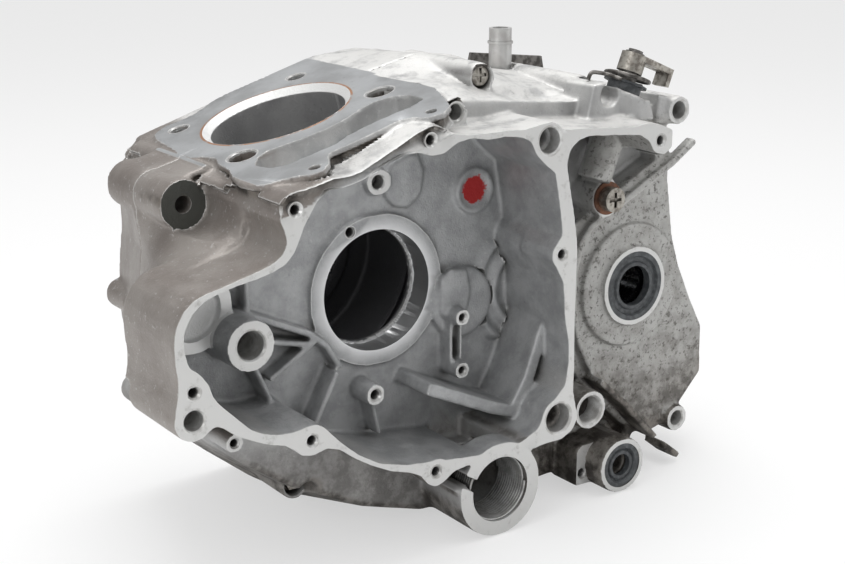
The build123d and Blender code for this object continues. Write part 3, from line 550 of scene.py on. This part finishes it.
def neighbourMean(points, edges, count):
    total = np.empty_like(points)
    for axis in range(3):
        total[:, axis] = np.bincount(edges[:, 0], points[edges[:, 1], axis], len(points))
        total[:, axis] += np.bincount(edges[:, 1], points[edges[:, 0], axis], len(points))
    return total / count[:, None]


def step(value, low, high):
    t = np.clip((value - low) / (high - low), 0, 1)
    return t * t * (3 - 2 * t)


def deckPlace(points):
    along = points[:, 0] * cos(lean) + points[:, 2] * sin(lean)
    high = points[:, 2] * cos(lean) - points[:, 0] * sin(lean) - place["deckHigh"]
    side = points[:, 1] - place["splitY"]
    return along, side, high, np.hypot(along, side)


def fromDeck(points, where, along, high):
    level = high + place["deckHigh"]
    points[where, 0] = along * cos(lean) - level * sin(lean)
    points[where, 2] = along * sin(lean) + level * cos(lean)


def findTrue(points, planes, faces, bores, holes):
    # Says which points lie on a machined face, and on which
    near = castings["hold"] * castings["voxel"] / 1.1
    found = []
    for y in planes:
        found.append(("flat", np.nonzero(np.abs(points[:, 1] - y) < near)[0], y))
    for x, z, r, y in faces:
        reach = np.hypot(points[:, 0] - x, points[:, 2] - z)
        found.append(("flat", np.nonzero((np.abs(points[:, 1] - y) < near) & (reach < r + near))[0], y))
    for x, z, r, first, last, real in bores + holes:
        reach = np.hypot(points[:, 0] - x, points[:, 2] - z)
        deep = (points[:, 1] > first - 0.6) & (points[:, 1] < last + 0.6)
        found.append(("round", np.nonzero((np.abs(reach - r) < near) & deep)[0], (x, z, real)))
    along, side, high, away = deckPlace(points)
    onTop = (np.abs(high) < near) & (np.abs(along) < 66) & (points[:, 1] > -56)
    found.append(("deck", np.nonzero(onTop)[0], 0))
    cone = (np.abs(high + place["mouthR"] - away) < near * 1.4) & (high < 0.5) & (high > -4.4)
    found.append(("cone", np.nonzero(cone)[0], 0))
    wall = (np.abs(away - place["boreR"]) < near) & (high < -3.4) & (high > -60)
    found.append(("bore", np.nonzero(wall)[0], 0))
    return found


def keepTrue(points, found):
    for kind, where, value in found:
        if len(where) == 0:
            continue
        if kind == "flat":
            points[where, 1] = value
        elif kind == "round":
            dx, dz = points[where, 0] - value[0], points[where, 2] - value[1]
            scale = value[2] / np.maximum(np.hypot(dx, dz), 0.1)
            points[where, 0] = value[0] + dx * scale
            points[where, 2] = value[1] + dz * scale
        else:
            along, side, high, away = deckPlace(points[where])
            if kind == "deck":
                high = high * 0
            elif kind == "cone":
                shift = (high + place["mouthR"] - away) / 2
                high, scale = high - shift, (away + shift) / away
                along, side = along * scale, side * scale
            else:
                scale = place["boreR"] / away
                along, side = along * scale, side * scale
            points[where, 1] = place["splitY"] + side
            fromDeck(points, where, along, high)


def insideLine(points, line):
    x, z = points[:, 0], points[:, 2]
    result = np.zeros(len(points), bool)
    for (xa, za), (xb, zb) in zip(line, line[1:] + line[:1]):
        if za == zb:
            continue
        crosses = ((za > z) != (zb > z)) & (x < (xb - xa) * (z - za) / (zb - za) + xa)
        result ^= crosses
    return result


def shapeRoof(points, normals):
    # The cast roof dips behind the chamber and swells beside the cylinder
    x, y, z = points.T
    roof = step(normals[:, 2], 0.4, 0.8) * step(y, -50, -40)
    dip = np.exp(-((x - 108) / 24) ** 4 - ((y + 2) / 11) ** 4)
    swell = np.exp(-((x - 44) / 22) ** 2 - ((y - 6) / 14) ** 2)
    points[:, 2] += roof * (swell * 3.5 - dip * 5.0) * step(z, 90, 97)


def raiseRidges(points, normals):
    # Two curved ridges stand on the chamber's floor, beside its rear wall
    x, y, z = points.T
    reach = np.hypot(x - ridges["x"], z - ridges["z"])
    ground = (normals[:, 1] < -0.8) & (np.abs(y - place["floorY"]) < 1.0)
    part = step(np.abs(z - ridges["z"]), ridges["half"], ridges["half"] - 6) * (x < ridges["x"])
    for r in ridges["radii"]:
        rise = np.exp(-((reach - r) / ridges["width"]) ** 2)
        points[:, 1] -= ground * part * rise * ridges["high"]


def undercutDeck(points, normals):
    # The deck stands out over the wall below it as a thin plate
    along, side, high, away = deckPlace(points)
    band = step(high, -3.0, -4.2) * step(high, -13, -9)
    level = np.abs(normals @ np.array(deckAxis)) < 0.6
    outer = (away > 50) & ((points[:, 1] < -28) | (np.abs(along) > 53) | (side > 50))
    near = step(np.abs(along), 76, 71)
    points -= normals * (band * level * outer * near * castings["lip"])[:, None]
    points[:, 1] = np.clip(points[:, 1], place["rimY"], place["farRimY"])


def setLayer(obj, name, *values):
    layer = obj.data.attributes.new(name=name, type="FLOAT_COLOR", domain="POINT")
    data = np.ones((len(obj.data.vertices), 4), np.float32)
    for i, value in enumerate(values):
        data[:, i] = value
    layer.data.foreach_set("color", data.ravel())


def paintLayers(obj):
    # Where each finish, painted light and painted shade lies, worked out from the shape itself
    points, normals = readPoints(obj), readNormals(obj)
    x, y, z = points.T
    nx, ny, nz = normals.T

    along, side, high, away = deckPlace(points)
    near = 0.06
    rim = (np.abs(y - place["rimY"]) < near) | (np.abs(y - place["farRimY"]) < near)
    for fx, fz, r, fy in leftFaces:
        reach = np.hypot(x - fx, z - fz)
        rim |= (np.abs(y - fy) < near) & (reach < r + 0.6) & (r < 44)
    deck = (np.abs(high) < near) & (np.abs(along) < 66) & (y > -56) & (y < 134)
    chamber = insideLine(points * 0.985, chamberLine) & (y < 6)
    out = points - roomMiddle
    outward = (out * normals).sum(1) / np.linalg.norm(out, axis=1)
    # Painted shade: the inside of the crank room is marked to be painted near black
    inside = (y > 6) & (y < 128) & (outward < 0.12) & ~deck & (high < -12)
    inside &= insideLine(points, roomLine)
    seat = (np.abs(np.hypot(x, z) - place["seatR"]) < 0.3) & (y > -0.5) & (y < 16.3)
    boreWall = (np.abs(away - place["boreR"]) < 1.2) & (high < -3.6) & (high > -56)
    outFront = (nx * x + nz * z) / np.maximum(np.hypot(x, z), 1)
    front = (y < 60) | (outFront > 0.35)
    paint = step(outFront, -0.2, 0.1) * step(x, -52, -70) * ~deck * front * step(z, -60, -48)
    paint = np.maximum(paint, step(x, -80, -92) * step(z, 30, 40)) * ~deck * ~chamber
    # Painted light: the upward-facing top of the case is marked for a lighter colour
    roof = step(nz, 0.25, 0.7) * step(z, 70, 88) * (1 - paint)
    plate = step(x, 108, 114) * (y < -5) * (ny < 0.2) * step(z, 90, 80)
    # Painted shade with grime: the belly under the rim is darkened for the shadow it lies in, together with
    # oil; the low rear part carries oil stains
    belly = step(z, -62, -92) * step(outFront, -0.2, 0.2) * ~chamber
    low = step(x, 55, 75) * step(z, -70, -84) * ~chamber
    tunnel = (np.abs(along) < 53) & (y > -26) & (y < 14)
    # Painted shadow, with a little grime, in a band under the deck's overhanging edge
    lip = step(high, -10, -6) * step(high, -2.2, -3.2) * (y < 40) * (away > 48) * ~chamber * ~tunnel
    low *= 1 - 0.85 * (np.abs(y - place["plateY"]) < 2) * (z > -118)
    grimeAndShade = np.clip(belly * 0.8 + low * 0.85, 0, 1)
    mountX, mountZ = marks["mount"]
    mount = (np.hypot(x - mountX, z - mountZ) < 15.5) & (np.abs(y - 26) < 0.3)
    # Painted shade: the cylinder bore wall gets darker further down
    inside = np.where(boreWall, 0.35 + 0.5 * step(high, -40, -54), inside * 0.9)
    setLayer(obj, "zone", rim & ~mount, chamber, inside)
    setLayer(obj, "paintAndLipShadow", paint, lip)
    # The first channel of this layer holds grime together with painted shade
    setLayer(obj, "stain", grimeAndShade, plate, seat)
    setLayer(obj, "tone", roof, deck)


def softenCasting(node, name, planes, faces, bores, holes):
    obj = copyNode(node, name)
    if node == "left_case_half":
        addReleaseBoss(obj)
    applyModifier(obj, "REMESH", mode="VOXEL", voxel_size=castings["voxel"] * mm, adaptivity=0.0)
    points, edges = readPoints(obj), readEdges(obj)
    count = np.maximum(np.bincount(edges.ravel(), minlength=len(points)), 1)
    found = findTrue(points, planes, faces, [(*b, b[2]) for b in bores], holes)
    keepTrue(points, found)
    for i in range(castings["rounds"]):
        points = points * 0.5 + neighbourMean(points, edges, count) * 0.5
        keepTrue(points, found)
    writePoints(obj, points)
    normals = readNormals(obj)
    if node == "left_case_half":
        shapeRoof(points, normals)
        raiseRidges(points, normals)
    undercutDeck(points, normals)
    keepTrue(points, [f for f in found if f[0] != "flat"])
    writePoints(obj, points)
    faces = len(obj.data.polygons) * 2
    applyModifier(obj, "DECIMATE", ratio=min(1.0, castings["triangles"] / faces))
    paintLayers(obj)
    choose(obj)
    bpy.ops.object.shade_smooth_by_angle(angle=radians(38))
    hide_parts(node)
    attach(obj, "case")
    print(name, len(obj.data.polygons), "triangles from", faces)
    return obj


# Turned edges of the holes: a flat ring, a chamfer and the thread or wall below
holeEdge = {"proud": 0.05, "chamfer": 0.8, "pitch": 1.0, "steps": 40}


def turnedTube(name, rings, centre, axis, steps):
    # Extrudes a circle from ring to ring, in mm along +Z, then stands it on its place
    deselectAll()
    first = rings[0]
    bpy.ops.mesh.primitive_circle_add(vertices=steps, radius=first[0] * mm, location=(0, 0, 0))
    obj = bpy.context.active_object
    obj.name = obj.data.name = name
    bpy.ops.object.mode_set(mode="EDIT")
    bpy.ops.mesh.select_all(action="SELECT")
    bpy.ops.transform.translate(value=(0, 0, first[1] * mm))
    last = first
    for r, h in rings[1:]:
        bpy.ops.mesh.extrude_edges_move(TRANSFORM_OT_translate={"value": (0, 0, (h - last[1]) * mm)})
        bpy.ops.transform.resize(value=(r / last[0], r / last[0], 1), center_override=(0, 0, 0))
        last = (r, h)
    bpy.ops.mesh.select_all(action="SELECT")
    bpy.ops.mesh.remove_doubles(threshold=0.000002)
    bpy.ops.mesh.normals_make_consistent(inside=False)
    bpy.ops.object.mode_set(mode="OBJECT")
    turn = Vector(axis).to_track_quat("Z", "Y").to_matrix().to_4x4()
    obj.matrix_world = Matrix.Translation(Vector(centre) * mm) @ turn
    bpy.ops.object.transform_apply(location=True, rotation=True, scale=True)
    bpy.ops.object.shade_smooth_by_angle(angle=radians(30))
    return obj


def threadRings(r, top, bottom, pitch):
    rings = []
    h = top
    while h > bottom + pitch:
        rings += [(r, h), (r - pitch * 0.35, h - pitch * 0.5)]
        h -= pitch
    return rings + [(r, h)]


def lineHole(name, centre, axis, r, deep, outer, threaded, finish):
    up, cut = holeEdge["proud"], holeEdge["chamfer"]
    rings = [(outer, up), (r + cut, up)]
    if threaded:
        rings += threadRings(r, -cut, -deep, holeEdge["pitch"])
    else:
        rings += [(r, -cut), (r, -deep)]
    rings += [(outer, -deep), (outer, up)]
    obj = turnedTube(name, rings, centre, axis, holeEdge["steps"])
    obj.data.materials.append(finish)
    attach(obj, "case")


def lineHoles(finish):
    for i, (x, z, y, r, deep, outer) in enumerate(lined):
        threaded = r in (3.0, 2.5, 3.2) or (x, z) == (132, -90)
        lineHole(f"holeEdge{i + 1}", (x, y, z), (0, -1, 0), r, deep, outer, threaded, finish)
    for i, (s, y) in enumerate(studs):
        level = place["deckHigh"]
        centre = (s * cos(lean) - level * sin(lean), y, s * sin(lean) + level * cos(lean))
        r, deep = (8.0, 9.0) if y < place["splitY"] else (5.5, 20.0)
        lineHole(f"studEdge{i + 1}", centre, deckAxis, r, deep, r + 1.5, False, finish)


# Thread of the plug hole, a true screw line
plug = {"x": 50.0, "z": -117.0, "r": 20.0, "from": -51.5, "pitch": 2.0, "turns": 13, "high": 1.25}


def makePlugThread(finish):
    deselectAll()
    bpy.ops.mesh.primitive_circle_add(vertices=3, radius=plug["high"] * mm, location=(0, 0, 0))
    obj = bpy.context.active_object
    obj.name = obj.data.name = "plugThread"
    bpy.ops.object.mode_set(mode="EDIT")
    bpy.ops.mesh.select_all(action="SELECT")
    bpy.ops.transform.rotate(value=radians(90), orient_axis="X", center_override=(0, 0, 0))
    bpy.ops.transform.resize(value=(1, 1, 0.8), center_override=(0, 0, 0))
    bpy.ops.transform.translate(value=(plug["r"] * mm, 0, 0))
    bpy.ops.object.mode_set(mode="OBJECT")
    applyModifier(obj, "SCREW", axis="Z", screw_offset=plug["pitch"] * mm, iterations=plug["turns"],
                  steps=72, render_steps=72, use_merge_vertices=True)
    choose(obj)
    bpy.ops.object.mode_set(mode="EDIT")
    bpy.ops.mesh.select_all(action="DESELECT")
    bpy.ops.mesh.select_mode(type="EDGE")
    bpy.ops.mesh.select_non_manifold()
    bpy.ops.mesh.edge_face_add()
    bpy.ops.mesh.select_mode(type="VERT")
    bpy.ops.mesh.select_all(action="SELECT")
    bpy.ops.mesh.normals_make_consistent(inside=False)
    bpy.ops.object.mode_set(mode="OBJECT")
    obj.matrix_world = (Matrix.Translation(Vector((plug["x"], plug["from"], plug["z"])) * mm)
                        @ Matrix.Rotation(radians(-90), 4, "X"))
    bpy.ops.object.transform_apply(location=True, rotation=True, scale=True)
    obj.data.materials.append(finish)
    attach(obj, "case")


# Hooked leg of the return spring
springLeg = {
    "wire": 1.25,
    "points": [(160.5, -24.5, 111.5), (157.5, -19.5, 113.4), (154.7, -14.5, 114.4), (150.0, -14.0, 115.3),
               (146.4, -14.0, 115.8), (144.6, -14.0, 114.9), (143.6, -14.0, 113.0), (142.9, -14.0, 111.3)],
}


def makeSpringLeg(finish):
    deselectAll()
    bpy.ops.curve.primitive_nurbs_path_add(location=(0, 0, 0))
    obj = bpy.context.active_object
    obj.name = "springLeg"
    curve = obj.data
    curve.splines.clear()
    curve.bevel_depth = springLeg["wire"] * mm
    curve.bevel_resolution = 4
    curve.use_fill_caps = True
    line = curve.splines.new("NURBS")
    line.points.add(len(springLeg["points"]) - 1)
    for point, spot in zip(line.points, springLeg["points"]):
        point.co = (*(v * mm for v in spot), 1)
    line.order_u = 3
    line.use_endpoint_u = True
    line.resolution_u = 8
    choose(obj)
    bpy.ops.object.convert(target="MESH")
    obj = bpy.context.active_object
    bpy.ops.object.shade_smooth()
    obj.data.materials.append(finish)
    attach(obj, "case")


# Cross-slot screw on the case joint behind the cylinder
crossScrew = {"x": 76, "z": 117.5, "from": 4.5, "to": 12.5, "r": 6.9, "slot": 1.7, "deep": 2.6, "long": 8.6}


def makeCrossScrew(finish):
    c = crossScrew
    deselectAll()
    middle = Vector((c["x"], (c["from"] + c["to"]) / 2, c["z"])) * mm
    bpy.ops.mesh.primitive_cylinder_add(vertices=48, radius=c["r"] * mm, depth=(c["to"] - c["from"]) * mm,
                                        location=middle, rotation=(radians(90), 0, 0))
    head = bpy.context.active_object
    head.name = head.data.name = "crossScrew"
    bpy.ops.object.transform_apply(location=True, rotation=True, scale=True)
    applyModifier(head, "BEVEL", width=1.4 * mm, segments=3, angle_limit=radians(40))
    for size in ((c["long"], c["slot"]), (c["slot"], c["long"])):
        deselectAll()
        bpy.ops.mesh.primitive_cube_add(size=1, location=(middle[0], c["from"] * mm, middle[2]),
                                        scale=(size[0] * mm, c["deep"] * 2 * mm, size[1] * mm))
        cutter = bpy.context.active_object
        applyModifier(head, "BOOLEAN", operation="DIFFERENCE", object=cutter, solver="EXACT")
        bpy.data.objects.remove(cutter)
    choose(head)
    bpy.ops.object.shade_smooth_by_angle(angle=radians(30))
    head.data.materials.append(finish)
    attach(head, "case")


# Plate that stands behind the breather
backPlate = {
    "y": 92.0, "thick": 2.2,
    "corners": [(128, 98), (132.9, 117.3), (192.3, 110.6), (194.3, 100.4), (192, 96)],
}


def makeBackPlate(finish):
    deselectAll()
    corners = backPlate["corners"]
    bpy.ops.mesh.primitive_circle_add(vertices=len(corners), radius=0.01, fill_type="NGON")
    obj = bpy.context.active_object
    obj.name = obj.data.name = "backPlate"
    for point, (x, z) in zip(obj.data.vertices, corners):
        point.co = Vector((x, backPlate["y"], z)) * mm
    applyModifier(obj, "SOLIDIFY", thickness=backPlate["thick"] * mm, offset=0)
    applyModifier(obj, "BEVEL", width=0.5 * mm, segments=2)
    choose(obj)
    bpy.ops.object.mode_set(mode="EDIT")
    bpy.ops.mesh.select_all(action="SELECT")
    bpy.ops.mesh.normals_make_consistent(inside=False)
    bpy.ops.object.mode_set(mode="OBJECT")
    obj.data.materials.append(finish)
    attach(obj, "case")


makeCamera()
makeStudio()
print("camera and studio ready")

cast = castFinish()
holes = [(x, z, r, y, y + deep, (r + outer) / 2) for x, z, y, r, deep, outer in lined]
leftCasting = softenCasting("left_case_half", "leftCasting", [place["rimY"], place["splitY"]], leftFaces,
                            leftBores, holes)
leftCasting.data.materials.append(cast)
rightCasting = softenCasting("right_case_half", "rightCasting", [place["farRimY"], place["splitY"]],
                             rightFaces, rightBores, [])
rightCasting.data.materials.append(cast)
print("castings ready")

steel = plainMetal("bearingSteel", (0.50, 0.51, 0.52), (0.33, 0.34, 0.35), 0.25, 1.0)
darkSteel = plainMetal("oilySteel", (0.20, 0.19, 0.18), (0.07, 0.065, 0.06), 0.42, 0.7)
zinc = plainMetal("dullZinc", (0.42, 0.40, 0.36), (0.20, 0.18, 0.16), 0.42, 0.9)
copper = plainMetal("tarnishedCopper", (0.20, 0.09, 0.052), (0.10, 0.055, 0.04), 0.45, 0.7)
turned = plainMetal("turnedNipple", (0.62, 0.62, 0.61), (0.50, 0.49, 0.48), 0.38, 0.6, 90)
milled = plainMetal("milledEdge", (0.64, 0.64, 0.63), (0.44, 0.435, 0.42), 0.34, 0.5, 160, 0.92)
rubber = rubberFinish()
finishes = {
    "bearing_steel": steel, "cage_steel": darkSteel, "seal_rubber": rubber, "zinc_steel": zinc,
    "copper": copper, "dark_steel": darkSteel, "nipple_steel": turned, "cast_aluminium": cast,
}
slots = {part["node"]: part["material_slot"] for part in frame["record"]["subparts"]}
for name, obj in nodes.items():
    obj.data.materials.clear()
    obj.data.materials.append(finishes[slots[name]])
lineHoles(milled)
makePlugThread(milled)
makeSpringLeg(darkSteel)
makeBackPlate(darkSteel)
makeCrossScrew(zinc)
print("small pieces ready")
